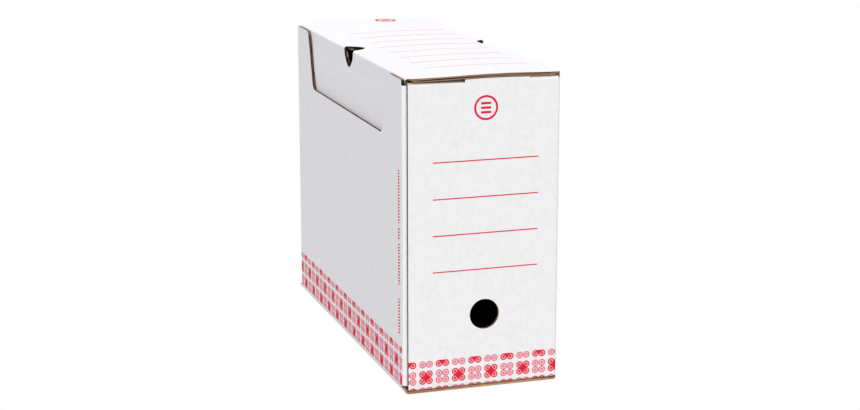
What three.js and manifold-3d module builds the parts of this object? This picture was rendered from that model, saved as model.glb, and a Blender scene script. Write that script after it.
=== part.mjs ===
// Archival box of corrugated board, in millimetres.
// +X is the box's width, +Y its length (the labelled end faces -Y) and +Z is up.
// The origin is the middle of the rectangle that the box stands on.
// Each panel of the folded blank is a flat solid of its own, kept a small gap from its neighbours.
import * as THREE from "three";
import { mergeVertices } from "three/addons/utils/BufferGeometryUtils.js";
import Module from "manifold-3d";

const wasm = await Module();
wasm.setup();

// ---- driving dimensions ----
const WIDTH = 130; // outside, along X
const LENGTH = 335; // outside, along Y
const HEIGHT = 256; // to the top of the crowned lid
const BOARD = 3; // thickness of the corrugated board
const GAP = 0.3; // between panels that touch
const LID_CROWN = 1; // how far the middle of the lid stands above its long edges
const DARK_GAP = 0.5; // between the lid's edge and the folded tops of the end panels

const HOLE_RADIUS = 12.5; // finger hole
const HOLE_X = 2.2;
const HOLE_Z = 61.3;

const TONGUE_LEFT = -15; // upright tongue on each end panel, reaching the lid
const TONGUE_RIGHT = 39;

const WINDOW_TOP_HALF = 124.5; // half-lengths and depth of the window in the left wall
const WINDOW_FOOT_HALF = 109;
const WINDOW_FLOOR_Z = 202.5;
const WINDOW_CORNER = 8; // radius of its lower corners
const WINDOW_SHOULDER = 6; // radius of its upper corners

const TUCK_RECESS = 4.5; // outer face of the tuck flap behind the outer face of the wall
const TUCK_FLAP_TIP_Z = 197;
const TUCK_FLAP_HALF_LENGTH = 160;
const TUCK_FLAP_TAPER = 6; // how much each end leans in towards the tip

const NOTCH_HALF_WIDTH = 15; // finger notch across the fold between lid and tuck flap
const NOTCH_LID_DEPTH = 15;
const NOTCH_FLAP_DEPTH = 13;
const HINGE_NOTCH_HALF_WIDTH = 12; // smaller notch across the hinge crease
const HINGE_NOTCH_DEPTH = 7.5;

const DUST_FLAP_DEPTH = 58;
const DUST_FLAP_LEFT = -51.5;
const DUST_FLAP_TAPER = 5;
const FLOOR_FLAP_DEPTH = 58;
const CORNER_FLAP_WIDTH = 36;
const CORNER_FLAP_TAPER = 5;
const CORNER_FLAP_TOP = 236; // low enough for a dust flap to fold down past it

// ---- places worked out from them ----
const LEFT = -WIDTH / 2;
const RIGHT = WIDTH / 2;
const FRONT = -LENGTH / 2;
const LID_EDGE_TOP = HEIGHT - LID_CROWN;
const LID_EDGE_UNDER = LID_EDGE_TOP - BOARD;
const LID_LEFT = LEFT + BOARD + 2 * GAP;
const LID_MIDDLE = (LID_LEFT + RIGHT) / 2;
const LID_HALF = (RIGHT - LID_LEFT) / 2;
const RIGHT_WALL_TOP = LID_EDGE_UNDER - GAP;
const LEFT_WALL_TOP = LID_EDGE_TOP - 1.3;
const FLOOR_TOP = BOARD + GAP;
const END_FOLD_TOP = LID_EDGE_UNDER - DARK_GAP;
const DUST_FLAP_UNDER = END_FOLD_TOP - BOARD;
const SECOND_LAYER = BOARD + GAP; // depth of a panel lying behind an end panel
const TUCK_OUTER_X = LEFT + TUCK_RECESS;
const WALL_END = LENGTH / 2 - SECOND_LAYER; // half-length of the side walls

// ---- colours ----
const WHITE_BOARD = { color: 0xecebea, roughness: 0.82, metalness: 0 };
const COOL_BOARD = { color: 0xd9dade, roughness: 0.82, metalness: 0 };
const KRAFT_BOARD = { color: 0xb18d62, roughness: 0.9, metalness: 0 };

const archivalBox = new THREE.Group();

// Adds one named mesh with its own material.
function addPart(name, geometry, look) {
  const mesh = new THREE.Mesh(geometry, new THREE.MeshStandardMaterial(look));
  mesh.name = name;
  archivalBox.add(mesh);
  return mesh;
}

// A flat outline given in two of the three axes, thickened to one board along the third.
// "across X" reads the outline as (y, z); "across Y" as (x, z); "across Z" as (x, y).
function boardFrom(outline, across, low) {
  const geometry = new THREE.ExtrudeGeometry(outline, { depth: BOARD, bevelEnabled: false, curveSegments: 10 });
  const [first, second, third] = {
    X: [[0, 1, 0], [0, 0, 1], [1, 0, 0]],
    Y: [[-1, 0, 0], [0, 0, 1], [0, 1, 0]],
    Z: [[1, 0, 0], [0, 1, 0], [0, 0, 1]],
  }[across].map((v) => new THREE.Vector3(...v));
  geometry.applyMatrix4(new THREE.Matrix4().makeBasis(first, second, third));
  geometry.translate(...third.clone().multiplyScalar(low).toArray());
  return geometry;
}

// A closed outline from its corner points.
function outlineOf(points) {
  return new THREE.Shape(points.map(([a, b]) => new THREE.Vector2(a, b)));
}

// For outlines across Y the first coordinate runs along -X, so the points are mirrored.
function mirrored(points) {
  return points.map(([a, b]) => [-a, b]).reverse();
}

// Turns a closed geometry into a solid that can be joined and cut.
function toSolid(geometry) {
  const bare = geometry.clone();
  bare.deleteAttribute("normal");
  bare.deleteAttribute("uv");
  const merged = mergeVertices(bare, 1e-4);
  const mesh = new wasm.Mesh({
    numProp: 3,
    vertProperties: new Float32Array(merged.attributes.position.array),
    triVerts: new Uint32Array(merged.index.array),
  });
  return new wasm.Manifold(mesh);
}

// Turns a solid back into a geometry.
function toGeometry(solid) {
  const { vertProperties, triVerts } = solid.getMesh();
  const geometry = new THREE.BufferGeometry();
  geometry.setAttribute("position", new THREE.BufferAttribute(vertProperties, 3));
  geometry.setIndex(new THREE.BufferAttribute(triVerts, 1));
  geometry.computeVertexNormals();
  return geometry;
}

// A half-moon cutter: an elliptic cylinder along the third axis of "across".
function halfMoon(halfWidth, depth, across, centre, low, high) {
  const moon = new THREE.Shape();
  const turn = 2 * Math.PI;
  moon.absellipse(0, 0, across === "X" ? halfWidth : depth, across === "X" ? depth : halfWidth, 0, turn, false, 0);
  const geometry = new THREE.ExtrudeGeometry(moon, { depth: high - low, bevelEnabled: false, curveSegments: 16 });
  if (across === "X") {
    geometry.applyMatrix4(new THREE.Matrix4().set(0, 0, 1, low, 1, 0, 0, 0, 0, 1, 0, centre, 0, 0, 0, 1));
  } else {
    geometry.translate(centre, 0, low);
  }
  return toSolid(geometry);
}

// ---- bottom ----
function bottomPanel() {
  const half = RIGHT - BOARD - GAP;
  return boardFrom(outlineOf([[-half, FRONT], [half, FRONT], [half, -FRONT], [-half, -FRONT]]), "Z", 0);
}

// ---- side walls ----
// The left wall is cut down in the middle by a trapezium window with rounded corners.
function leftWall() {
  const wall = new THREE.Shape();
  // Each corner turns through the slope's own angle.
  const turn = Math.atan2(LEFT_WALL_TOP - WINDOW_FLOOR_Z, WINDOW_TOP_HALF - WINDOW_FOOT_HALF);
  const cornerReach = WINDOW_CORNER * Math.tan(turn / 2);
  const shoulderReach = WINDOW_SHOULDER * Math.tan(turn / 2);
  wall.moveTo(-WALL_END, 0);
  wall.lineTo(WALL_END, 0);
  wall.lineTo(WALL_END, LEFT_WALL_TOP);
  wall.lineTo(WINDOW_TOP_HALF + shoulderReach, LEFT_WALL_TOP);
  wall.absarc(
    WINDOW_TOP_HALF + shoulderReach, LEFT_WALL_TOP - WINDOW_SHOULDER, WINDOW_SHOULDER,
    Math.PI / 2, Math.PI / 2 + turn, false,
  );
  wall.absarc(
    WINDOW_FOOT_HALF - cornerReach, WINDOW_FLOOR_Z + WINDOW_CORNER, WINDOW_CORNER,
    -Math.PI / 2 + turn, -Math.PI / 2, true,
  );
  wall.absarc(
    -WINDOW_FOOT_HALF + cornerReach, WINDOW_FLOOR_Z + WINDOW_CORNER, WINDOW_CORNER,
    -Math.PI / 2, -Math.PI / 2 - turn, true,
  );
  wall.absarc(
    -WINDOW_TOP_HALF - shoulderReach, LEFT_WALL_TOP - WINDOW_SHOULDER, WINDOW_SHOULDER,
    Math.PI / 2 - turn, Math.PI / 2, false,
  );
  wall.lineTo(-WALL_END, LEFT_WALL_TOP);
  return boardFrom(wall, "X", LEFT);
}

function rightWall() {
  const points = [[-WALL_END, 0], [WALL_END, 0], [WALL_END, RIGHT_WALL_TOP], [-WALL_END, RIGHT_WALL_TOP]];
  const wall = toSolid(boardFrom(outlineOf(points), "X", RIGHT - BOARD));
  const notch = halfMoon(
    HINGE_NOTCH_HALF_WIDTH, HINGE_NOTCH_DEPTH, "X", RIGHT_WALL_TOP, RIGHT - 2 * BOARD, RIGHT + BOARD,
  );
  return toGeometry(wall.subtract(notch));
}

// ---- end panels and their flaps ----
// An end panel hinges on the right wall and ends short of the left wall's crease.
// Its top is folded in except for the tongue, which stays upright.
function endPanel(outerY, withHole) {
  const left = LEFT + BOARD + GAP;
  const tongueTop = LID_EDGE_UNDER + 0.35 * LID_CROWN;
  const panel = outlineOf(mirrored([
    [left, FLOOR_TOP], [RIGHT, FLOOR_TOP], [RIGHT, END_FOLD_TOP], [TONGUE_RIGHT, END_FOLD_TOP],
    [TONGUE_RIGHT, tongueTop], [TONGUE_LEFT, tongueTop], [TONGUE_LEFT, END_FOLD_TOP], [left, END_FOLD_TOP],
  ]));
  if (withHole) {
    const hole = new THREE.Path();
    hole.absarc(-HOLE_X, HOLE_Z, HOLE_RADIUS, 0, 2 * Math.PI, true);
    panel.holes.push(hole);
  }
  return boardFrom(panel, "Y", outerY);
}

// A glue flap folded from the left wall, lying behind the end panel.
function cornerFlap(innerY) {
  const root = LEFT + BOARD + GAP;
  const tip = root + CORNER_FLAP_WIDTH;
  const low = FLOOR_TOP + BOARD + GAP;
  const flap = outlineOf(mirrored([
    [root, low], [tip, low + CORNER_FLAP_TAPER],
    [tip, CORNER_FLAP_TOP - CORNER_FLAP_TAPER], [root, CORNER_FLAP_TOP],
  ]));
  return boardFrom(flap, "Y", innerY);
}

// A flap folded in from the end panel; "inward" is +1 at the front and -1 at the back.
function floorFlap(inward) {
  const root = inward * (FRONT + SECOND_LAYER);
  const tip = root + inward * FLOOR_FLAP_DEPTH;
  const left = LEFT + 2 * (BOARD + GAP);
  const right = RIGHT - BOARD - GAP;
  const points = [
    [left, root], [right, root], [right - DUST_FLAP_TAPER, tip], [left + DUST_FLAP_TAPER, tip],
  ];
  return boardFrom(outlineOf(inward > 0 ? points : points.reverse()), "Z", FLOOR_TOP);
}

function dustFlap(inward) {
  const root = inward * (FRONT + SECOND_LAYER);
  const slot = root + inward * BOARD;
  const tip = root + inward * DUST_FLAP_DEPTH;
  const right = RIGHT - BOARD - GAP;
  const points = [
    [DUST_FLAP_LEFT, root], [TONGUE_LEFT - GAP, root], [TONGUE_LEFT - GAP, slot],
    [TONGUE_RIGHT + GAP, slot], [TONGUE_RIGHT + GAP, root], [right, root],
    [right - DUST_FLAP_TAPER, tip], [DUST_FLAP_LEFT + DUST_FLAP_TAPER, tip],
  ];
  return boardFrom(outlineOf(inward > 0 ? points : points.reverse()), "Z", DUST_FLAP_UNDER);
}

// ---- lid and its tuck flap ----
// The lid's section is a shallow arch one board thick, carried along the whole length.
function lidPanel() {
  const steps = 16;
  const archAt = (x) => LID_CROWN * (1 - ((x - LID_MIDDLE) / LID_HALF) ** 2);
  const over = [];
  for (let i = 0; i <= steps; i += 1) {
    const x = RIGHT - (2 * LID_HALF * i) / steps;
    over.push([x, LID_EDGE_UNDER + archAt(x)]);
  }
  const section = outlineOf([...over.map(([x, z]) => [x, z + BOARD]), ...over.reverse()]);
  const geometry = new THREE.ExtrudeGeometry(section, { depth: LENGTH, bevelEnabled: false });
  geometry.rotateX(Math.PI / 2);
  geometry.translate(0, LENGTH / 2, 0);
  const low = LID_EDGE_UNDER - BOARD;
  const high = HEIGHT + BOARD;
  const fingerNotch = halfMoon(NOTCH_HALF_WIDTH, NOTCH_LID_DEPTH, "Z", LID_LEFT, low, high);
  const hingeNotch = halfMoon(HINGE_NOTCH_HALF_WIDTH, HINGE_NOTCH_DEPTH, "Z", RIGHT, low, high);
  return toGeometry(toSolid(geometry).subtract(fingerNotch).subtract(hingeNotch));
}

function lidTuckFlap() {
  const top = LID_EDGE_UNDER - GAP;
  const half = TUCK_FLAP_HALF_LENGTH;
  const tipHalf = half - TUCK_FLAP_TAPER;
  const points = [[-tipHalf, TUCK_FLAP_TIP_Z], [tipHalf, TUCK_FLAP_TIP_Z], [half, top], [-half, top]];
  const flap = toSolid(boardFrom(outlineOf(points), "X", TUCK_OUTER_X));
  const notch = halfMoon(
    NOTCH_HALF_WIDTH, NOTCH_FLAP_DEPTH, "X", top, TUCK_OUTER_X - BOARD, TUCK_OUTER_X + 2 * BOARD,
  );
  return toGeometry(flap.subtract(notch));
}

addPart("bottom_panel", bottomPanel(), WHITE_BOARD);
addPart("left_wall", leftWall(), COOL_BOARD);
addPart("right_wall", rightWall(), COOL_BOARD);
addPart("front_panel", endPanel(FRONT, true), WHITE_BOARD);
addPart("back_panel", endPanel(-FRONT - BOARD, false), WHITE_BOARD);
addPart("front_corner_flap", cornerFlap(FRONT + SECOND_LAYER), COOL_BOARD);
addPart("back_corner_flap", cornerFlap(-FRONT - SECOND_LAYER - BOARD), COOL_BOARD);
addPart("front_floor_flap", floorFlap(1), KRAFT_BOARD);
addPart("back_floor_flap", floorFlap(-1), KRAFT_BOARD);
addPart("front_dust_flap", dustFlap(1), WHITE_BOARD);
addPart("back_dust_flap", dustFlap(-1), WHITE_BOARD);
addPart("lid_panel", lidPanel(), WHITE_BOARD);
addPart("lid_tuck_flap", lidTuckFlap(), WHITE_BOARD);

export default archivalBox;
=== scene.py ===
# Archival box folded from white-lined corrugated board. Each panel of the blank is built as its real papers:
# a white-faced outer liner, a fluted medium and a brown inner liner, with rolled creases between the panels.
import math

import bpy
import numpy as np
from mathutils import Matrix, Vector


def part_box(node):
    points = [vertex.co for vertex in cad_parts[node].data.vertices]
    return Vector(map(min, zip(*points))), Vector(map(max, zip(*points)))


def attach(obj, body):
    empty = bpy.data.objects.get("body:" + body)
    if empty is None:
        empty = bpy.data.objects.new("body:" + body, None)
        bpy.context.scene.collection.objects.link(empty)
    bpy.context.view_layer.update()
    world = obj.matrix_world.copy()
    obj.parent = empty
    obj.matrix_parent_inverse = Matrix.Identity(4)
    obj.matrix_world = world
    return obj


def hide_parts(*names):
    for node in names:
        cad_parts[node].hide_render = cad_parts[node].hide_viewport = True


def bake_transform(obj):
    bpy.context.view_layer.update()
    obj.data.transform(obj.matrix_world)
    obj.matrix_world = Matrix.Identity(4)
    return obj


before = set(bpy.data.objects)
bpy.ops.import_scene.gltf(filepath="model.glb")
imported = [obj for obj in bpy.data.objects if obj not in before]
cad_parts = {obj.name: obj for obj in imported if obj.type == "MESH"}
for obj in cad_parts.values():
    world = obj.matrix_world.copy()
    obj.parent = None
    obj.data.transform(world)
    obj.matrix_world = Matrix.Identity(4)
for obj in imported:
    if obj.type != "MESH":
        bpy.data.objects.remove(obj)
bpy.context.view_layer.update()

MM = 0.001


def span(node):
    """Lowest and highest corner of a panel's solid, in millimetres."""
    low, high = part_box(node)
    return np.array(low) / MM, np.array(high) / MM


# ---- places, from the frame ----
left_low, left_high = span("left_wall")
right_high = span("right_wall")[1]
front_low = span("front_panel")[0]
back_high = span("back_panel")[1]
corner_low, corner_high = span("front_corner_flap")
floor_low, floor_high = span("front_floor_flap")
dust_low, dust_high = span("front_dust_flap")
lid_low, lid_high = span("lid_panel")
tuck_low, tuck_high = span("lid_tuck_flap")
LEFT = left_low[0]
RIGHT = right_high[0]
FRONT = front_low[1]
BACK = back_high[1]
BOARD = left_high[0] - left_low[0]

# ---- the board's make-up, in millimetres ----
LINER = 0.5  # thickness of each flat paper
MEDIUM = 0.5  # thickness of the fluted paper
FLUTE = 6.4  # one wave
SKEW = 0.03  # how far the flutes run off square, per millimetre
SINK = 0.06  # how far the liners sink in between the flutes' tips
COATING = 0.09  # depth of the white face
EDGE_STEP = 0.02  # half the width of a step in a cut outline
WELD = 2e-6  # metres; points in one cell of this size are joined
NO_GAP = 1e-6  # a crease's opening narrower than this is closed
SHARP_ANGLE = math.radians(32)  # edges bent more than this look sharp

# ---- the blank's own sizes ----
CROWN = 1.0  # rise of the lid's middle
LID_EDGE = lid_high[2] - CROWN
TONGUE = (-15.0, 39.0)
TONGUE_GAP = 0.45  # between the tongue's top and the lid
# An end panel's side crease starts this far below its foot's roll and ends this far below the dust flaps' top.
SIDE_TRIM = 1.0
FLOOR_GAP = 0.4  # how much further in a floor flap's root is than in the frame
HOLE = (2.2, 61.3, 12.4)  # x, z and radius of the finger hole
LEFT_FOOT_ROLL = 4.0  # outer radii of the creases
RIGHT_FOOT_ROLL = 2.4
SIDE_ROLL = 2.0
END_FOOT_ROLL = 2.4
CORNER_ROLL = 3.3
DUST_ROLL = 2.2
HINGE_ROLL = 1.8
TUCK_ROLL = 2.0
END_FOOT = 1.9  # height of the end panels' rolled foot, pressed into the bottom's edge
TUCK_LEAN = 1.1  # how far the tuck flap springs out against the left wall
TUCK_BELLY = 0.4  # how much more halfway down
SLOT = 6.0  # height of the slots at the lower corners
CORNER_SLOT_TOP = 249.3
WALL_STRIP = 243.0  # where the right wall ends and the lid's crease begins
LID_STRIP = 56.0  # where the lid ends at that crease
TUCK_STRIP_LID = -54.0
TUCK_STRIP_FLAP = 246.0
END_STRIP = 243.0  # where an end panel ends and its top crease begins
DUST_RISE = dust_high[2] - DUST_ROLL - END_STRIP  # straight part of that crease's strip
DUST_ROOT = 7.0  # distance of a dust flap's root from the box's end
WINDOW_TOP = 124.5
WINDOW_FOOT = 109.0
WINDOW_FLOOR = 202.5
WINDOW_CORNER = 8.0
WINDOW_SHOULDER = 7.0
FINGER_NOTCH = (13.6, 14.2, 12.6)  # half-width, depth in the lid, depth in the tuck flap
HINGE_NOTCH = (13.5, 10.5)  # half-width and depth of the notch on the hinge crease
NOTCH_POWER = 1.6  # roundness of both notches' outline
DUST_BEND = (2.0, 5.5)  # where a dust flap's bend begins and ends, inwards from the box's end; dust_crease works out these two points, but nothing uses them
# Fall of that crease at its left end, at the tongue's two sides and at its right end.
DUST_DIP = (0.0, 1.3, -0.3, -0.1)
PINCH = (0.3, 2.0, WINDOW_FOOT + 6, 8.0)  # share lost, reach, and a slope's middle and half-length
CRUSH = (0.44, 5.0)  # share lost at the bottom's raw ends, and its reach
PRESS = 0.85  # thickness left at a crease, as a share of its radius
PRESS_REACH = 2.2  # how far the pressing reaches beside a crease


# ---- sheets ----
def pressed(outside, radius):
    """Share of the board's thickness left near a crease. On it the share is press radius / board, at most 1,
    and what is lost there fades away from it as exp(-(distance / reach)^2)."""
    lost = 1 - min(1.0, PRESS * radius / BOARD)
    return 1 - lost * np.exp(-((outside / PRESS_REACH) ** 2))


def rolled(place, depth, start, radius, side):
    """Bends what lies past the start over an arc. With t the distance past it and angle = t / radius, the
    place becomes start + side (radius - depth) sin(angle), and the depth becomes
    radius - (radius - depth) cos(angle)."""
    past = side * (place - start)
    depth = depth * pressed(np.clip(-past, 0, None), radius)
    angle = np.clip(past, 0, None) / radius
    bent_place = start + side * (radius - depth) * np.sin(angle)
    bent_depth = radius - (radius - depth) * np.cos(angle)
    return np.where(past > 0, bent_place, place), np.where(past > 0, bent_depth, depth)


class Panel:
    """A flat sheet: point = origin + across u + along v + inward (squash(u, v) depth - bow(v)), with rolled
    margins. The flutes run along v. Depth 0 is the white face."""

    def __init__(
        self, origin, across, along, inward, across_rolls=(), along_rolls=(), bow=None, squash=None
    ):
        self.origin, self.across, self.along, self.inward = (
            np.array(v, float) for v in (origin, across, along, inward)
        )
        self.across_rolls = across_rolls
        self.along_rolls = along_rolls
        self.bow = bow
        self.squash = squash
        self.flipped = np.dot(np.cross(self.across, self.along), self.inward) > 0

    def place(self, u, v, depth):
        depth = np.broadcast_to(depth, u.shape)
        flat_v = v
        if self.squash is not None:
            depth = depth * self.squash(u, v)
        for start, radius, side in self.across_rolls:
            u, depth = rolled(u, depth, start, radius, side)
        for start, radius, side in self.along_rolls:
            v, depth = rolled(v, depth, start, radius, side)
        if self.bow is not None:
            depth = depth - self.bow(flat_v)
        parts = (u, self.across), (v, self.along), (depth, self.inward)
        return self.origin + sum(amount[..., None] * axis for amount, axis in parts)


class Fold:
    """A creased strip: straight along `first`, round a quarter circle, then straight along `second`.
    On the bend the sheet runs along first cos(angle) + second sin(angle). lift(place across, place along
    second) raises what lies past the bend."""

    def __init__(self, start, first, second, axis, length_before, radius, length_after, lift):
        self.start, self.first, self.second, self.axis = (
            np.array(v, float) for v in (start, first, second, axis)
        )
        self.before = length_before
        self.radius = radius
        self.arc = radius * math.pi / 2
        self.total = length_before + self.arc + length_after
        self.lift = lift
        self.flipped = np.dot(np.cross(self.axis, self.first), self.second) > 0

    def samples(self):
        """Places along the strip, close together round the bend."""
        bend = np.linspace(self.before, self.before + self.arc, 13)
        ends = np.linspace(0, self.before, 9)[:-1], np.linspace(bend[-1], self.total, 9)[1:]
        return np.concatenate([ends[0], bend, ends[1]])

    def thickness(self, v):
        """The board's thickness at each place along the strip, pressed thin on the bend."""
        outside = np.clip(np.maximum(self.before - v, v - self.before - self.arc), 0, None)
        return BOARD * pressed(outside, self.radius)

    def place(self, u, v, depth):
        angle = np.clip(v - self.before, 0, self.arc) / self.radius
        far = np.clip(v - self.before - self.arc, 0, None)
        forward = np.clip(v, 0, self.before) + (self.radius - depth) * np.sin(angle)
        sideways = self.radius - (self.radius - depth) * np.cos(angle) + far
        forward = forward + self.lift(u, sideways) * np.sin(angle)
        parts = (u, self.axis), (forward, self.first), (sideways, self.second)
        return self.start + sum(amount[..., None] * axis for amount, axis in parts)


def columns(low, high, cuts=(), step=FLUTE / 10):
    """Even places across the flutes, with a close pair at each place where the outline steps."""
    even = np.linspace(low, high, int(round((high - low) / step)) + 1)
    pairs = [cut + side * EDGE_STEP for cut in cuts for side in (-1, 1)]
    return np.unique(np.concatenate([even, pairs]))


def rows(*parts):
    """Places along the flutes: each part is (low, high, how many)."""
    return np.concatenate([np.linspace(*part) for part in parts])


def grid(across, along, lower, upper):
    """A grid whose rows are held between the outline's two curves. Each is a number or a function of the
    column."""
    curves = [curve(across) if callable(curve) else curve for curve in (lower, upper)]
    limits = [np.broadcast_to(curve, across.shape)[:, None] for curve in curves]
    u = np.repeat(across[:, None], len(along), 1)
    return u, np.clip(np.repeat(along[None, :], len(across), 0), *limits)


def slab(name, sheet, u, v, outer, inner, keep, material):
    """The grid at two depths, facing apart, with a rim wherever a kept cell has no kept neighbour."""
    count = u.size
    index = np.arange(count).reshape(u.shape)
    corners = index[:-1, :-1], index[1:, :-1], index[1:, 1:], index[:-1, 1:]
    ring = np.pad(keep, 1)
    neighbours = ring[1:-1, :-2], ring[2:, 1:-1], ring[1:-1, 2:], ring[:-2, 1:-1]
    top = np.stack(corners, -1)[keep]
    quads = [top, top[:, ::-1] + count]
    for k, neighbour in enumerate(neighbours):
        bare = keep & ~neighbour
        start, end = corners[k][bare], corners[(k + 1) % 4][bare]
        quads.append(np.stack([end, start, start + count, end + count], -1))
    quads = np.concatenate(quads)
    if sheet.flipped:
        quads = quads[:, ::-1]
    depths = [np.broadcast_to(d, u.shape) for d in (outer, inner)]
    points = np.concatenate([sheet.place(u, v, d).reshape(-1, 3) for d in depths]) * MM
    flat = np.tile(np.stack([u, v], -1).reshape(-1, 2), (2, 1))
    return paper(name, points, quads, flat, np.concatenate([d.ravel() for d in depths]), material)


def paper(name, points, quads, flat, depth, material):
    """A mesh from quads, welded where points meet. It keeps each point's place on the sheet and its depth."""
    triangles = np.concatenate([quads[:, [0, 1, 2]], quads[:, [0, 2, 3]]])
    cells = np.round(points / WELD).astype(np.int64)
    _, first, same = np.unique(cells, axis=0, return_index=True, return_inverse=True)
    triangles = same.reshape(-1)[triangles]
    a, b, c = triangles.T
    triangles = triangles[(a != b) & (b != c) & (c != a)]
    used, triangles = np.unique(triangles, return_inverse=True)
    triangles = triangles.reshape(-1, 3)
    first = first[used]
    mesh = bpy.data.meshes.new(name)
    mesh.from_pydata(points[first], [], triangles)
    depths = mesh.attributes.new("depth", "FLOAT", "POINT")
    depths.data.foreach_set("value", depth[first].astype(np.float32))
    uv = mesh.uv_layers.new(name="sheet")
    uv.data.foreach_set("uv", (flat[first][triangles.ravel()] * MM).astype(np.float32).ravel())
    mesh.shade_smooth()
    mesh.set_sharp_from_angle(angle=SHARP_ANGLE)
    mesh.materials.append(material)
    piece = bpy.data.objects.new(name, mesh)
    bpy.context.scene.collection.objects.link(piece)
    return piece


# ---- finishes ----
class Field:
    """A number worked out at each point by Math nodes, written as ordinary arithmetic. Comparisons give
    0 or 1, a & b is the smaller of the two and a | b the larger."""

    def __init__(self, tree, socket):
        self.tree = tree
        self.socket = socket

    def join(self, operation, *others):
        """One Math node on this number and the others, which are numbers or Fields."""
        node = self.tree.nodes.new("ShaderNodeMath")
        node.operation = operation
        for entry, value in zip(node.inputs, (self, *others)):
            if isinstance(value, Field):
                self.tree.links.new(value.socket, entry)
            else:
                entry.default_value = value
        return Field(self.tree, node.outputs[0])

    def __add__(self, other):
        return self.join("ADD", other)

    def __sub__(self, other):
        return self.join("SUBTRACT", other)

    def __mul__(self, other):
        return self.join("MULTIPLY", other)

    def __lt__(self, other):
        return self.join("LESS_THAN", other)

    def __gt__(self, other):
        return self.join("GREATER_THAN", other)

    def __and__(self, other):
        return self.join("MINIMUM", other)

    def __or__(self, other):
        return self.join("MAXIMUM", other)

    def size(self):
        """The number without its sign."""
        return self.join("ABSOLUTE")

    def within(self, low, high):
        """1 between the two limits and 0 elsewhere."""
        return (self > low) & (self < high)

    def repeated(self, pitch):
        """Place within a cell, from -pitch/2 to pitch/2."""
        return self.join("WRAP", pitch / 2, -pitch / 2)

    def cell(self, pitch):
        """Number of the cell."""
        return (self * (1 / pitch) + 0.5).join("FLOOR")

    def odd(self):
        """1 where a whole number is odd and 0 where it is even."""
        return self.join("FLOORED_MODULO", 2.0) > 0.5


def add_node(tree, kind, **values):
    """A node with each value set on the input of that name or, where there is none, as a property."""
    node = tree.nodes.new(kind)
    for key, value in values.items():
        if key in node.inputs:
            node.inputs[key].default_value = value
        else:
            setattr(node, key, value)
    return node


def noise(tree, scale, detail=3.0, stretch=(1, 1, 1)):
    """A number between 0 and 1 that wanders over the object, with cells of about 1 / scale metres."""
    where = tree.nodes.new("ShaderNodeTexCoord")
    mapping = add_node(tree, "ShaderNodeMapping", Scale=stretch)
    texture = add_node(tree, "ShaderNodeTexNoise", Scale=scale, Detail=detail)
    tree.links.new(where.outputs["Object"], mapping.inputs["Vector"])
    tree.links.new(mapping.outputs["Vector"], texture.inputs["Vector"])
    return Field(tree, texture.outputs["Fac"])


def mixed(tree, share, below, above):
    """A colour between two others, each a colour or a socket."""
    node = tree.nodes.new("ShaderNodeMix")
    node.data_type = "RGBA"
    tree.links.new(share.socket, node.inputs[0])
    for entry, value in ((node.inputs[6], below), (node.inputs[7], above)):
        if isinstance(value, bpy.types.NodeSocket):
            tree.links.new(value, entry)
        else:
            entry.default_value = (*value, 1)
    return node.outputs[2]


# Grain of the papers: cells per metre, detail and, for the fibres, how far they are drawn out.
FIBRES = (900, 4, (1, 1, 0.25))
CLOUDS = (90, 2)
MOTTLE = (260, 3)
WEAR = (1100, 2)
RELIEF = (1400, 4)
RELIEF_HEIGHT = 0.0001  # metres
WHITE_ROUGHNESS = 0.8
WHITE_RELIEF = 0.25
KRAFT_ROUGHNESS = 0.88
KRAFT_RELIEF = 0.4
SPECULAR = 0.25
# Colours of the papers and inks.
WHITE = (0.855, 0.854, 0.876)
WHITE_DULL = (0.795, 0.795, 0.822)
KRAFT = (0.40, 0.258, 0.150)
KRAFT_DARK = (0.235, 0.142, 0.078)
# Painted shade: near black, laid on cut edges that sit in shadow.
SHADE_BLACK = (0.020, 0.013, 0.009)
# Painted shade on the end panels' top fold.
FOLD_SHADE_COLOUR = (0.50, 0.46, 0.42)
RED = (0.72, 0.004, 0.034)
PINK = (0.76, 0.17, 0.24)


def kraft_colour(tree, tone=1.0, shade_mask=None):
    """Brown paper: long pale and dark fibres over slow cloudy patches, near black where painted shade lies on
    it. The share of the pale colour is 0.7 fibres + 0.5 clouds - 0.1."""
    fibres = noise(tree, *FIBRES)
    clouds = noise(tree, *CLOUDS)
    dark, pale = (tuple(tone * channel for channel in colour) for colour in (KRAFT_DARK, KRAFT))
    colour = mixed(tree, (fibres * 0.7 + clouds * 0.5) - 0.1, dark, pale)
    if shade_mask is None:
        return colour
    return mixed(tree, shade_mask(*sheet_place(tree)), colour, SHADE_BLACK)


def finish(name, colour_of, roughness, grain):
    """A matt paper: its colour from colour_of(tree), and a fine fibre relief of strength `grain`."""
    material = bpy.data.materials.new(name)
    material.use_nodes = True
    tree = material.node_tree
    shader = tree.nodes["Principled BSDF"]
    shader.inputs["Roughness"].default_value = roughness
    shader.inputs["Specular IOR Level"].default_value = SPECULAR
    tree.links.new(colour_of(tree), shader.inputs["Base Color"])
    bump = add_node(tree, "ShaderNodeBump", Strength=grain, Distance=RELIEF_HEIGHT)
    tree.links.new(noise(tree, *RELIEF).socket, bump.inputs["Height"])
    tree.links.new(bump.outputs["Normal"], shader.inputs["Normal"])
    return material


def depth_in(tree):
    """Depth below the white face, in millimetres."""
    return Field(tree, add_node(tree, "ShaderNodeAttribute", attribute_name="depth").outputs["Fac"])


def sheet_place(tree):
    """Places on the flat sheet in millimetres, across and along the flutes."""
    uv = add_node(tree, "ShaderNodeUVMap", uv_map="sheet")
    split = tree.nodes.new("ShaderNodeSeparateXYZ")
    tree.links.new(uv.outputs["UV"], split.inputs["Vector"])
    return Field(tree, split.outputs["X"]) * (1 / MM), Field(tree, split.outputs["Y"]) * (1 / MM)


def board_colour(tree, tone, shade_mask, inside=BOARD - COATING):
    """Brown paper, plain on the face inside the box and of the given tone on its cut edges."""
    edge = kraft_colour(tree, tone, shade_mask)
    return mixed(tree, depth_in(tree) > inside, edge, kraft_colour(tree))


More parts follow.
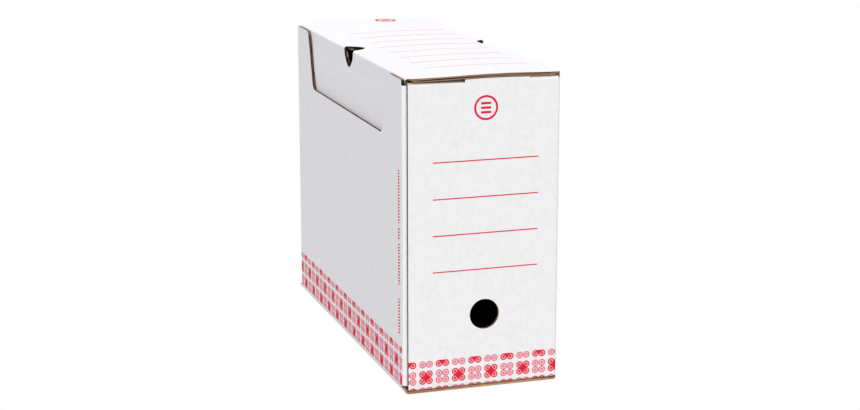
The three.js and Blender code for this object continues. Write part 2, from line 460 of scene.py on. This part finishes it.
def white_board(name, inks=None, tone=1.0, shade_mask=None, creased=None, inside=BOARD - COATING):
    """White-faced liner, brown below the coating. inks(u, v) gives how strong the red and the pink ink are,
    and creased(u, v) how much painted shade lies on a fold. The flutes show as faint painted shade,
    cos(2 pi (u + skew v) / flute). The share of the brighter white is 2.2 mottle + 0.12 times that shade -
    0.6, and the inks' strength is multiplied by 0.85 + 0.3 noise."""

    def colour(tree):
        u, v = sheet_place(tree)
        # Painted shade that follows the flutes.
        ridge_shade = ((u + v * SKEW) * (2 * math.pi / FLUTE)).join("COSINE")
        white = mixed(tree, noise(tree, *MOTTLE) * 2.2 + ridge_shade * 0.12 - 0.6, WHITE_DULL, WHITE)
        # Painted shade on a fold.
        if creased is not None:
            white = mixed(tree, creased(u, v), white, FOLD_SHADE_COLOUR)
        if inks is not None:
            red, pink = inks(u, v)
            worn = noise(tree, *WEAR) * 0.3 + 0.85
            if pink is not None:
                white = mixed(tree, pink * worn, white, PINK)
            white = mixed(tree, red * worn, white, RED)
        return mixed(tree, depth_in(tree) > COATING, white, board_colour(tree, tone, shade_mask, inside))

    return finish(name, colour, WHITE_ROUGHNESS, WHITE_RELIEF)


def brown_paper(name, tone=1.0, shade_mask=None):
    """The unprinted papers: the flutes and the inner liner."""
    return finish(name, lambda tree: board_colour(tree, tone, shade_mask), KRAFT_ROUGHNESS, KRAFT_RELIEF)


# ---- print ----
MOTIF = 13.8  # pitch of the border's four-ring motifs
LOBE = 2.85  # distance of each ring's centre from the motif's middle lines
DOT = 1.05  # radius of the dot in each ring
RING_INNER = 1.9
RING_OUTER = 2.9
PINHOLE = 0.1  # inner radius of a dot or disc, too small to see
DIAMOND = 3.9  # reach of the diamond from the motif's middle
DISC_PINK = (0.65, 0.4)  # how pink the ring's disc is in a strong and in a pale motif
RULE = 1.0  # thickness of the ruled lines
BADGE_RADIUS = 10.0
BAR_PITCH = 3.6
BAR_STACK = 5.0  # half the height within which bars are kept, with room for three
BAR_HALF = 4.2  # half the length of one
END_BORDER = ((-47.0, 12.6), 0.5, 26.4)  # middle of one motif, then the band's lowest and highest point
SIDE_BORDER = ((-145.4, 23.4), 5.2, 37.2)
END_RULES = (2.9, 44.2, 98.8, 29.6, 4)  # middle, half-length, first line, pitch and how many
LID_RULES = (9.0, 44.2, -121.0, 29.3, 8)
END_BADGE = (2.6, 229.2)
LID_BADGE = (18.5, 156.0)
TICKS = (-153.4, 2.1, 2.5, 0.7)  # middle of the column, its half-width, pitch, half a tick's thickness
TICK_SLANT = 0.2
TICK_GROUPS = ((47, 76), (88, 122), (125, 135), (138, 181))
LID_NOTCH_SHADE = (16.5, -44.0, 54.0)  # painted shade round the lid's notches: half-width, and where the left one ends and the right one begins
FOLD_NOTCH_SHADE = 15.5  # half-width of the same painted shade on the creases
EDGE_SHADE_TOP = 250.0  # height below which painted shade darkens the left wall's cut edges
EDGE_SHADE_SHARE = 0.62  # how strong that painted shade is
CORNER_EDGE_SHADE = (159.8, 244.0)  # full painted shade at the two top corners: distance from the middle, and height
TOP_FOLD_SHADE_SPAN = (0.8, 5.0)  # where the painted shade on the fold begins and ends, past the start of the bend


def round_at(u, v, centre, low, high):
    """Points whose distance from the centre lies between low and high."""
    du, dv = u - centre[0], v - centre[1]
    return (du * du + dv * dv).within(low * low, high * high)


def border(u, v, centre, low, high):
    """Rows of motifs, strong and pale by turns: four rings about each middle, with a diamond in the strong
    ones. A motif is strong where its column and row numbers add up to an even number."""
    du, dv = (u - centre[0]), (v - centre[1])
    odd = (du.cell(MOTIF) + dv.cell(MOTIF)).odd()
    au, av = du.repeated(MOTIF).size(), dv.repeated(MOTIF).size()
    band = v.within(low, high)
    lobe = (LOBE, LOBE)
    dot = round_at(au, av, lobe, PINHOLE, DOT)
    ring = round_at(au, av, lobe, RING_INNER, RING_OUTER)
    disc = round_at(au, av, lobe, PINHOLE, RING_OUTER)
    even = (odd * -1.0) + 1.0
    strong = (ring | dot | ((au + av) < DIAMOND)) & band & even
    disc_pink = odd * (DISC_PINK[1] - DISC_PINK[0]) + DISC_PINK[0]
    pale = ((ring | dot) & band & odd) | (disc & band & disc_pink)
    return strong, pale


def rules(u, v, middle, half, first, pitch, count):
    """Evenly pitched thin lines, each `half` either side of the middle."""
    lines = (v - first).repeated(pitch).size() < RULE / 2
    last = first + pitch * (count - 1)
    return lines & (u - middle).size().within(-1.0, half) & v.within(first - 2, last + 2)


def badge(u, v, centre, inner=8.2, bar=0.95):
    """A plain ring with three short bars, each `bar` either side of its middle line."""
    bars = (v - centre[1]).repeated(BAR_PITCH).size() < bar
    bars = bars & ((v - centre[1]).size() < BAR_STACK) & ((u - centre[0]).size() < BAR_HALF)
    return round_at(u, v, centre, inner, BADGE_RADIUS) | bars


def front_inks(u, v):
    """The border, four ruled lines and the badge."""
    red, pink = border(u, v, *END_BORDER)
    red = red | rules(u, v, *END_RULES) | badge(u, v, END_BADGE)
    return red, pink


def back_inks(u, v):
    """The border alone."""
    return border(u, v, *END_BORDER)


def side_inks(u, v):
    """The side walls' border, which stands higher."""
    return border(u, v, *SIDE_BORDER)


def left_inks(u, v):
    """The border, and four groups of small slanted ticks in a column near the front edge."""
    red, pink = side_inks(u, v)
    middle, half, pitch, thick = TICKS
    ticks = ((v + u * TICK_SLANT).repeated(pitch).size() < thick) & ((u - middle).size() < half)
    groups = v.within(*TICK_GROUPS[0])
    for low, high in TICK_GROUPS[1:]:
        groups = groups | v.within(low, high)
    return red | (ticks & groups), pink


def lid_inks(u, v):
    """Eight ruled lines and a bolder badge. The lid's u runs along the box's length, so u and v change
    places."""
    red = rules(v, u, *LID_RULES) | badge(v, u, LID_BADGE, 7.0, 1.3)
    return red, None


def lid_notch_shade(u, v):
    """Painted shade: dark cut edges round both of the lid's notches, which look into the dark inside of the
    box.
    """
    half, left, right = LID_NOTCH_SHADE
    return (u.size() < half) & ((v < left) | (v > right))


def left_edge_shade(u, v):
    """Painted shade: darkens the left wall's cut edges below its top line, where they sit in shadow, and most
    of all its two top corners.
    """
    at_corner = (u.size() > CORNER_EDGE_SHADE[0]) & (v > CORNER_EDGE_SHADE[1])
    return ((v < EDGE_SHADE_TOP) * EDGE_SHADE_SHARE) | at_corner


def top_fold_shade(u, v):
    """How much painted shade lies along the end panels' top fold, in the shadow of the lid's edge: wholly on
    the side where u is below 0, and by 0.3 on the other, where it dims the roll's bright top."""
    return v.within(DUST_RISE + TOP_FOLD_SHADE_SPAN[0], DUST_RISE + TOP_FOLD_SHADE_SPAN[1]) & ((u < 0.0) * 0.7 + 0.3)


def fold_notch_shade(u, v):
    """The same painted shade, on the creased strips that the notches cross."""
    return u.size() < FOLD_NOTCH_SHADE


# Depth past which a crease counts as inside face. It is less than a panel's, since a crease is pressed thin.
CREASE_INSIDE = 2.2
kraft = brown_paper("kraft_paper")
# Painted light: the bottom's cut edges are twice as bright, for the light the floor throws up on them.
kraft_floor_lit = brown_paper("kraft_paper_floor_lit", 2.0)
kraft_shaded = brown_paper("kraft_paper_shaded", 0.42)
# The left wall's cut edges carry painted shade.
kraft_left = brown_paper("kraft_paper_left", 1.0, left_edge_shade)
kraft_lid = brown_paper("kraft_paper_lid", 1.25, lid_notch_shade)
# Painted shade: the tuck flap's cut edges are near black, for the shadow of the window's recess and the finger
# notch.
kraft_flap = brown_paper("kraft_paper_flap", 0.12)
plain_white = white_board("white_liner")
# Painted light: its cut edges are twice as bright, for the light the floor throws up on them.
bottom_white = white_board("white_liner_bottom", tone=2.0)
# The end panels' cut edges and the finger hole's rim are darker: painted shade of the gaps at the panels'
# edges.
front_white = white_board("white_liner_front", front_inks, 0.45)
back_white = white_board("white_liner_back", back_inks, 0.45)
# The left wall's cut edges carry painted shade.
left_white = white_board("white_liner_left", left_inks, 1.0, left_edge_shade)
right_white = white_board("white_liner_right", side_inks)
lid_white = white_board("white_liner_lid", lid_inks, 0.85, lid_notch_shade)
# Painted shade: the tuck flap's cut edges are near black, for the shadow of the window's recess and the finger
# notch.
flap_white = white_board("white_liner_flap", tone=0.12)
# Cut edges, and the pressed inside of the bend thinner than the inside depth, are darker: painted shade of the
# groove along the crease.
hinge_white = white_board("white_liner_hinge", tone=0.7, shade_mask=fold_notch_shade, inside=CREASE_INSIDE)
fold_white = white_board("white_liner_fold", tone=0.7, shade_mask=fold_notch_shade, inside=CREASE_INSIDE)
# Its cut edges are darker: painted shade in the gap under the lid's edge.
dust_white = white_board("white_liner_dust", tone=0.6, creased=top_fold_shade, inside=CREASE_INSIDE)


# ---- panels ----
def board(node, body, sheet, u, v, face, core, drop=None):
    """The three papers of one panel. With wave = sin(2 pi (u + skew v) / flute), the medium's depth is the
    board's middle plus its swing times the wave, and each liner sinks in by up to the sink, the outer one by
    sink (1 + wave) / 2 and the inner one by sink (1 - wave) / 2."""
    middle_u = (u[:-1, :-1] + u[1:, 1:]) / 2
    middle_v = (v[:-1, :-1] + v[1:, 1:]) / 2
    keep = np.ones(middle_u.shape, bool) if drop is None else ~drop(middle_u, middle_v)
    wave = np.sin(2 * math.pi * (u + SKEW * v) / FLUTE)
    swing = BOARD / 2 - LINER - MEDIUM / 2 - SINK
    outer = SINK * (1 + wave) / 2
    middle = BOARD / 2 + swing * wave
    inner = BOARD - SINK * (1 - wave) / 2
    layers = (
        ("outer_liner", outer, outer + LINER, face),
        ("flutes", middle - MEDIUM / 2, middle + MEDIUM / 2, core),
        ("inner_liner", inner - LINER, inner, core),
    )
    for layer, top, under, material in layers:
        piece = slab(f"{node}_{layer}", sheet, u, v, top, under, keep, material)
        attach(piece, body)
        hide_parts(node)


def window_top(y):
    """The left wall's top edge: full height at both ends, and a slope with rounded corners down to the
    window's floor. Each rounding is an arc of its own radius that meets the slope and the level line."""
    top = left_high[2]
    rise = top - WINDOW_FLOOR
    lean = (WINDOW_TOP - WINDOW_FOOT) / rise
    slope = math.hypot(1, lean)
    away = np.abs(y)
    straight = WINDOW_FLOOR + (away - WINDOW_FOOT) / lean
    reach = slope - lean
    corner_middle = WINDOW_FOOT - WINDOW_CORNER * reach
    shoulder_middle = WINDOW_TOP + WINDOW_SHOULDER * reach
    corner = WINDOW_FLOOR + WINDOW_CORNER
    corner = corner - np.sqrt(np.clip(WINDOW_CORNER ** 2 - (away - corner_middle) ** 2, 0, None))
    shoulder = top - WINDOW_SHOULDER
    shoulder = shoulder + np.sqrt(np.clip(WINDOW_SHOULDER ** 2 - (away - shoulder_middle) ** 2, 0, None))
    corner_end = corner_middle + WINDOW_CORNER / slope
    shoulder_start = shoulder_middle - WINDOW_SHOULDER / slope
    zones = [away <= corner_middle, away <= corner_end, away <= shoulder_start, away <= shoulder_middle]
    return np.select(zones, [WINDOW_FLOOR + 0 * away, corner, straight, shoulder], top)


def notch_reach(y, half_width, depth):
    """How deep the notch is at y: depth (1 - |y / half_width|^p)^(1/p), and nothing outside."""
    inside = np.clip(1 - np.abs(y / half_width) ** NOTCH_POWER, 0, None)
    return depth * inside ** (1 / NOTCH_POWER)


def notch_width(reach, half_width, depth):
    """The same curve the other way round: half its width at a given reach into the sheet."""
    inside = np.clip(1 - (np.clip(reach, 0, None) / depth) ** NOTCH_POWER, 0, None)
    return half_width * inside ** (1 / NOTCH_POWER)


def crown(x):
    """Height of the lid's arch over its edges: crown sin(pi s^1.2)^2, with s from 0 at the tuck fold to 1
    at the hinge."""
    s = np.clip((x - lid_low[0]) / (RIGHT - lid_low[0]), 0, 1)
    return CROWN * np.sin(math.pi * s ** 1.2) ** 2


def left_wall():
    """The side with the window, its flutes upright and its foot rolled from the bottom."""
    def pinch(y, z):
        """The cut edge loses a share of its thickness, all but the slopes of the window: share times
        (1 - sloping) times exp(-(distance below the edge / reach)^2), where sloping is 1 on a slope."""
        share, reach, slope_middle, slope_half = PINCH
        sloping = np.exp(-(((np.abs(y) - slope_middle) / slope_half) ** 4))
        return 1 - share * (1 - sloping) * np.exp(-(((window_top(y) - z) / reach) ** 2))

    sheet = Panel((LEFT, 0, 0), (0, 1, 0), (0, 0, 1), (1, 0, 0), squash=pinch)
    end = -corner_low[1] - CORNER_ROLL
    dense = np.linspace(WINDOW_FOOT - 10, WINDOW_TOP + 12, 140)
    across = np.unique(np.concatenate([columns(-end, end), dense, -dense]))
    along = rows((LEFT_FOOT_ROLL, WINDOW_FLOOR - 6, 12), (WINDOW_FLOOR - 4, WINDOW_FLOOR, 4),
                 (WINDOW_FLOOR + 2, left_high[2], 26))
    u, v = grid(across, along, LEFT_FOOT_ROLL, window_top)
    board("left_wall", "carton", sheet, u, v, left_white, kraft_left)


def right_wall():
    """The hinge side, flat between its foot's crease and the lid's."""
    sheet = Panel((RIGHT, 0, 0), (0, 1, 0), (0, 0, 1), (-1, 0, 0))
    half = -FRONT - SIDE_ROLL
    along = rows((RIGHT_FOOT_ROLL, WALL_STRIP, 12))
    u, v = grid(columns(-half, half), along, RIGHT_FOOT_ROLL, WALL_STRIP)
    board("right_wall", "carton", sheet, u, v, right_white, kraft)


def bottom_panel():
    """The bottom, rolled up into both side walls."""
    low, high = LEFT + LEFT_FOOT_ROLL, RIGHT - RIGHT_FOOT_ROLL
    rolls = (low, LEFT_FOOT_ROLL, -1), (high, RIGHT_FOOT_ROLL, 1)

    def crushed(y, x):
        """The end panels' feet press the bottom's raw ends, where share exp(-(distance / reach)^2) of the
        thickness is lost."""
        share, reach = CRUSH
        return 1 - share * np.exp(-(((BACK - np.abs(y)) / reach) ** 2))

    sheet = Panel((0, 0, 0), (0, 1, 0), (1, 0, 0), (0, 0, 1), along_rolls=rolls, squash=crushed)
    first = low - LEFT_FOOT_ROLL * math.pi / 2
    last = high + RIGHT_FOOT_ROLL * math.pi / 2
    along = np.unique(rows((first, low, 9), (low, high, 9), (high, last, 9)))
    u, v = grid(columns(FRONT, BACK), along, first, last)
    board("bottom_panel", "carton", sheet, u, v, bottom_white, kraft_floor_lit)


def end_panel(node, y, inward, face, with_hole):
    """An end panel, rolled over to the right wall at its side and to the floor flap at its foot."""
    foot = END_FOOT + END_FOOT_ROLL
    side = RIGHT - SIDE_ROLL
    sheet = Panel((0, y, 0), (1, 0, 0), (0, 0, 1), (0, inward, 0),
                  across_rolls=((side, SIDE_ROLL, 1),), along_rolls=((foot, END_FOOT_ROLL, -1),))
    hole_x, hole_z, radius = HOLE
    fine = hole_x + radius * np.sin(np.linspace(-math.pi / 2, math.pi / 2, 65))
    across = columns(front_low[0], side + SIDE_ROLL * math.pi / 2, (*TONGUE, side))
    across = np.unique(np.concatenate([across, fine]))
    lowest = foot - END_FOOT_ROLL * math.pi / 2
    below = rows((lowest, foot, 8), (foot + 4, hole_z - radius - 2, 4), (hole_z, hole_z, 1))
    above = rows((hole_z, hole_z, 1), (hole_z + radius + 2, END_STRIP, 8), (LID_EDGE, LID_EDGE, 1))

    def bottom(x):
        return np.where(x > side, foot - SIDE_TRIM, lowest)

    def top(x):
        """The tongue follows the lid's arch from just below it. Beside it the crease's strip takes over."""
        tongue = (x > TONGUE[0]) & (x < TONGUE[1])
        beside = np.where(x > side, dust_high[2] - SIDE_TRIM, END_STRIP)
        return np.where(tongue, LID_EDGE - BOARD + crown(x) - TONGUE_GAP, beside)

    u, v = grid(across, np.concatenate([below, above]), bottom, top)
    hole_row = len(below) - 1
    if with_hole:
        opening = np.sqrt(np.clip(radius ** 2 - (across - hole_x) ** 2, 0, None))
        v[:, hole_row] -= opening
        v[:, hole_row + 1] += opening

    def drop(x, z):
        row = np.arange(z.shape[1]) == hole_row
        return with_hole & row[None, :] & (np.abs(x - hole_x) < radius)

    board(node, "carton", sheet, u, v, face, kraft_shaded, drop)


def corner_flap(node, y, inward):
    """A glue flap behind the end panel. Its rolled root shows as a narrow strip beside the panel."""
    root = LEFT + CORNER_ROLL
    sheet = Panel((0, y, 0), (1, 0, 0), (0, 0, 1), (0, inward, 0), across_rolls=((root, CORNER_ROLL, -1),))
    tip = corner_high[0]
    across = columns(root - CORNER_ROLL * math.pi / 2, tip, (root,))
    places = (root - EDGE_STEP, root, tip)
    taper = 5.0

    def lower(x):
        return np.interp(x, places, (SLOT, corner_low[2], corner_low[2] + taper))

    def upper(x):
        return np.interp(x, places, (CORNER_SLOT_TOP, corner_high[2], corner_high[2] - taper))

    along = rows((SLOT, CORNER_SLOT_TOP, 12))
    u, v = grid(across, along, lower, upper)
    board(node, "carton", sheet, u, v, plain_white, kraft)


def lying_flap(node, body, low, high, z, inward_z, end, root, face):
    """A flap lying flat, its sides tapering to the tip. end is -1 at the front and 1 at the back."""
    sheet = Panel((0, 0, z), (1, 0, 0), (0, 1, 0), (0, 0, inward_z))
    tip = high[1]
    taper = 5.0
    across = columns(low[0], high[0])

    def reach(x):
        """The tip's place: root + (tip - root) min(1, distance from the side / taper), held above 0.02."""
        edge = np.minimum(x - low[0], high[0] - x) / taper
        return root + (tip - root) * np.clip(edge, 0.02, 1)

    along = np.linspace(root, tip, 6)
    if end < 0:
        u, v = grid(across, along, root, reach)
    else:
        u, v = grid(across, -along[::-1], lambda x: -reach(x), -root)
    board(node, body, sheet, u, v, face, kraft)


def lid_and_tuck_flap():
    """The arched lid and the flap that hangs from its left edge, with half the finger notch in each."""
    half, lid_depth, flap_depth = FINGER_NOTCH
    sheet = Panel((0, 0, LID_EDGE), (0, 1, 0), (1, 0, 0), (0, 0, -1), bow=crown)
    fine = np.linspace(-half, half, 81)
    across = np.unique(np.concatenate([columns(FRONT, BACK), fine]))
    along = rows((TUCK_STRIP_LID, LID_STRIP, 25))

    def notched(y):
        return np.maximum(TUCK_STRIP_LID, lid_low[0] + notch_reach(y, half, lid_depth))

    u, v = grid(across, along, notched, LID_STRIP)
    board("lid_panel", "lid", sheet, u, v, lid_white, kraft_lid)

    def lean(z):
        """How far the flap springs out: lean + belly sin(pi s)^2, with s from 0 at its tip to 1 at the
        crease."""
        s = (z - tuck_low[2]) / (TUCK_STRIP_FLAP - tuck_low[2])
        return TUCK_LEAN + TUCK_BELLY * np.sin(math.pi * s) ** 2

    sheet = Panel((tuck_low[0], 0, 0), (0, 1, 0), (0, 0, 1), (1, 0, 0), bow=lean)
    across = np.unique(np.concatenate([columns(tuck_low[1], tuck_high[1]), fine]))
    taper = 6.0

    def lower(y):
        places = (tuck_high[1] - taper, tuck_high[1])
        return np.interp(np.abs(y), places, (tuck_low[2], TUCK_STRIP_FLAP - 0.5))

    def upper(y):
        return np.minimum(TUCK_STRIP_FLAP, tuck_high[2] - notch_reach(y, half, flap_depth))

    u, v = grid(across, rows((tuck_low[2], TUCK_STRIP_FLAP, 9)), lower, upper)
    board("lid_tuck_flap", "tuck_flap", sheet, u, v, flap_white, kraft_flap)


# ---- creases, built fixed in place between the moving parts ----
def crease(name, fold, starts, ends, gap, face):
    """A strip of creased board between two panels, open where gap(points) is wider than nothing.
    starts, ends and gap give places along the crease for each row of the strip."""
    along = fold.samples()
    steps = np.linspace(0, 1, 60)[:, None]
    open_from, open_to = gap(along)
    near = starts(along) * (1 - steps) + open_from * steps
    far = open_to * (1 - steps) + ends(along) * steps
    u = np.concatenate([near, far])
    v = np.repeat(along[None, :], len(u), 0)
    keep = np.ones((u.shape[0] - 1, u.shape[1] - 1), bool)
    closed = open_to - open_from < NO_GAP
    keep[len(steps) - 1] = closed[:-1] & closed[1:]
    piece = slab(name, fold, u, v, 0.0, fold.thickness(along)[None, :], keep, face)
    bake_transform(piece)


def lid_hinge_crease():
    """The crease along the right wall, with its notch."""
    rise = LID_EDGE - HINGE_ROLL - WALL_STRIP
    fold = Fold((RIGHT, 0, WALL_STRIP), (0, 0, 1), (-1, 0, 0), (0, 1, 0), rise, HINGE_ROLL,
                RIGHT - HINGE_ROLL - LID_STRIP, lambda y, sideways: crown(RIGHT - sideways))
    half, depth = HINGE_NOTCH
    middle = rise + fold.arc / 2

    def length(v):
        return np.interp(v, (rise, rise + fold.arc), (-FRONT - SIDE_ROLL, -FRONT))

    def notch(v):
        width = notch_width(np.abs(v - middle), half, depth)
        return -width, width

    crease("lid_hinge_crease", fold, lambda v: -length(v), length, notch,
           hinge_white)


def tuck_fold_crease():
    """The crease between the lid and the tuck flap, with the finger notch across it."""
    drop = LID_EDGE - TUCK_ROLL - TUCK_STRIP_FLAP
    outer = tuck_low[0] - TUCK_LEAN
    fold = Fold((outer, 0, TUCK_STRIP_FLAP), (0, 0, 1), (1, 0, 0), (0, 1, 0), drop, TUCK_ROLL,
                TUCK_STRIP_LID - outer - TUCK_ROLL, lambda y, sideways: crown(outer + sideways))
    half, lid_depth, flap_depth = FINGER_NOTCH
    corner = drop + fold.arc - TUCK_ROLL

    def fold_length(v):
        return np.interp(v, (drop, drop + fold.arc), (tuck_high[1], -FRONT))

    def finger_notch(v):
        on_flap = notch_width(tuck_high[2] - TUCK_STRIP_FLAP - v, half, flap_depth)
        on_lid = notch_width(v - corner + outer - lid_low[0], half, lid_depth)
        width = np.minimum(on_flap, on_lid)
        return -width, width

    crease("tuck_fold_crease", fold, lambda v: -fold_length(v), fold_length, finger_notch,
           fold_white)


def dust_crease(name, end):
    """The folded top of an end panel, either side of the tongue. It dips towards the tongue."""
    y = end * -FRONT
    side = RIGHT - SIDE_ROLL

    def dip(x, sideways):
        fade = np.clip((DUST_ROOT - sideways) / (DUST_ROOT - DUST_ROLL), 0, 1)
        places = (front_low[0], TONGUE[0], TONGUE[1], side)
        return -np.interp(x, places, DUST_DIP) * fade

    fold = Fold((0, y, END_STRIP), (0, 0, 1), (0, -end, 0), (1, 0, 0),
                DUST_RISE, DUST_ROLL, DUST_ROOT - DUST_ROLL, dip)
    bend_from = (0, (y - end * DUST_BEND[0]) * MM, dust_high[2] * MM)
    bend_to = (0, (y - end * DUST_BEND[1]) * MM, dust_high[2] * MM)
    crease(name, fold,
           lambda v: np.interp(v, (DUST_RISE + fold.arc, fold.total), (front_low[0], dust_low[0])),
           lambda v: np.full(v.shape, side),
           lambda v: (np.full(v.shape, TONGUE[0]), np.full(v.shape, TONGUE[1])),
           dust_white)


left_wall()
right_wall()
bottom_panel()
end_panel("front_panel", FRONT, 1, front_white, True)
end_panel("back_panel", BACK, -1, back_white, False)
corner_flap("front_corner_flap", corner_low[1], 1)
corner_flap("back_corner_flap", -corner_low[1], -1)
for place, end in (("front", -1), ("back", 1)):
    lying_flap(f"{place}_floor_flap", "carton", floor_low, floor_high,
               floor_low[2], 1, end, floor_low[1] + FLOOR_GAP, plain_white)
    lying_flap(f"{place}_dust_flap", f"{place}_dust", dust_low, dust_high,
               dust_high[2], -1, end, FRONT + DUST_ROOT, plain_white)
    dust_crease(f"{place}_dust_crease", end)
lid_and_tuck_flap()
lid_hinge_crease()
tuck_fold_crease()


# ---- studio ----
def seen_white(tree, plain, bright):
    """Joins two shaders: the plain one lights the box, and the bright one is what shows behind it."""
    path = tree.nodes.new("ShaderNodeLightPath")
    mix = tree.nodes.new("ShaderNodeMixShader")
    tree.links.new(path.outputs["Is Camera Ray"], mix.inputs[0])
    tree.links.new(plain.outputs[0], mix.inputs[1])
    tree.links.new(bright.outputs[0], mix.inputs[2])
    return mix.outputs[0]


FLOOR_HALF = 8.0  # metres
FLOOR_GREY = 0.46  # how pale the floor is to the light
SKY = (0.93, 0.915, 1.0, 1)
SKY_STRENGTH = 0.605
SUN = (1.0, 0.995, 0.92)
SUN_STRENGTH = 2.66
SUN_WIDTH = 60  # degrees
SUN_FALL = 40.5  # degrees off straight down
SUN_TURN = -27
CAMERA = (-0.4915, -1.530, 0.4922)  # metres
CAMERA_TILT = 13.255  # degrees below level
CAMERA_TURN = -18.195
CAMERA_LENS = 78.7  # millimetres, on a sensor 36 wide


def white_floor():
    """A floor that lights the box as pale grey and shows as plain white, without shadows on it."""
    size = FLOOR_HALF
    mesh = bpy.data.meshes.new("studio_floor")
    corners = [(-size, -size, 0), (size, -size, 0), (size, size, 0), (-size, size, 0)]
    mesh.from_pydata(corners, [], [(0, 1, 2, 3)])
    floor = bpy.data.objects.new("studio_floor", mesh)
    bpy.context.scene.collection.objects.link(floor)
    pale = bpy.data.materials.new("studio_floor")
    pale.use_nodes = True
    tree = pale.node_tree
    matt = add_node(tree, "ShaderNodeBsdfDiffuse", Color=(FLOOR_GREY, FLOOR_GREY, FLOOR_GREY, 1))
    glow = add_node(tree, "ShaderNodeEmission", Strength=1.0)
    tree.links.new(seen_white(tree, matt, glow), tree.nodes["Material Output"].inputs["Surface"])
    mesh.materials.append(pale)


def soft_light():
    """A pale sky with a white backdrop, and one broad light from above and the front left."""
    world = bpy.data.worlds.new("studio")
    bpy.context.scene.world = world
    world.use_nodes = True
    tree = world.node_tree
    sky = add_node(tree, "ShaderNodeBackground", Color=SKY, Strength=SKY_STRENGTH)
    backdrop = add_node(tree, "ShaderNodeBackground", Color=(1, 1, 1, 1), Strength=1.0)
    tree.links.new(seen_white(tree, sky, backdrop), tree.nodes["World Output"].inputs["Surface"])

    sun = bpy.data.lights.new("key", "SUN")
    sun.energy = SUN_STRENGTH
    sun.angle = math.radians(SUN_WIDTH)
    sun.color = SUN
    key = bpy.data.objects.new("key", sun)
    key.rotation_euler = (math.radians(SUN_FALL), 0, math.radians(SUN_TURN))
    bpy.context.scene.collection.objects.link(key)


def camera_and_colours():
    """A camera without shift that looks down at the box, and colours without a film curve."""
    camera = bpy.data.cameras.new("camera")
    camera.sensor_width = 36
    camera.lens = CAMERA_LENS
    camera.clip_end = 50
    viewer = bpy.data.objects.new("camera", camera)
    viewer.location = CAMERA
    viewer.rotation_euler = (math.radians(90 - CAMERA_TILT), 0, math.radians(CAMERA_TURN))
    bpy.context.scene.collection.objects.link(viewer)
    bpy.context.scene.camera = viewer
    bpy.context.scene.view_settings.view_transform = "Standard"


white_floor()
soft_light()
camera_and_colours()
